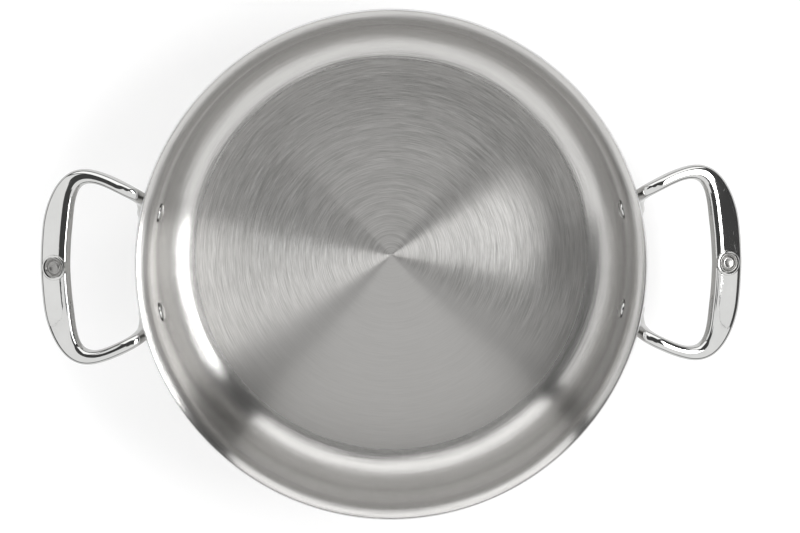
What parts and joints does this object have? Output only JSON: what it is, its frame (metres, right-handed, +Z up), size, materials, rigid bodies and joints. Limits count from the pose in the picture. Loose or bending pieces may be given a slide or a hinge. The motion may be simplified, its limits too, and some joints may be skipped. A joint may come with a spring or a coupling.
{
  "type": "saute pan",
  "caption": "Round straight-walled saute pan in clad stainless steel, with a flared pouring lip, riveted loop handles on opposite sides and a flat base.",
  "frame": {"origin": "centre of the flat base, on the surface the pan stands on", "axes": "+Z up through the opening, +X towards the right handle, +Y towards the back"},
  "size_m": [0.4088, 0.2974, 0.0828],
  "materials": {
    "cooking_surface_steel": "satin",
    "core_aluminium": "satin",
    "outside_steel": "satin",
    "handle_steel": "polished",
    "inlay_steel": "satin",
    "rivet_steel": "polished"
  },
  "bodies": {
    "root": {"inner_steel_ply": "cooking_surface_steel", "aluminium_core_ply": "core_aluminium", "outer_steel_ply": "outside_steel", "right_handle": "handle_steel", "right_handle_inlay": "inlay_steel", "right_front_rivet": "rivet_steel", "right_back_rivet": "rivet_steel", "left_handle": "handle_steel", "left_handle_inlay": "inlay_steel", "left_front_rivet": "rivet_steel", "left_back_rivet": "rivet_steel"}
  },
  "joints": []
}
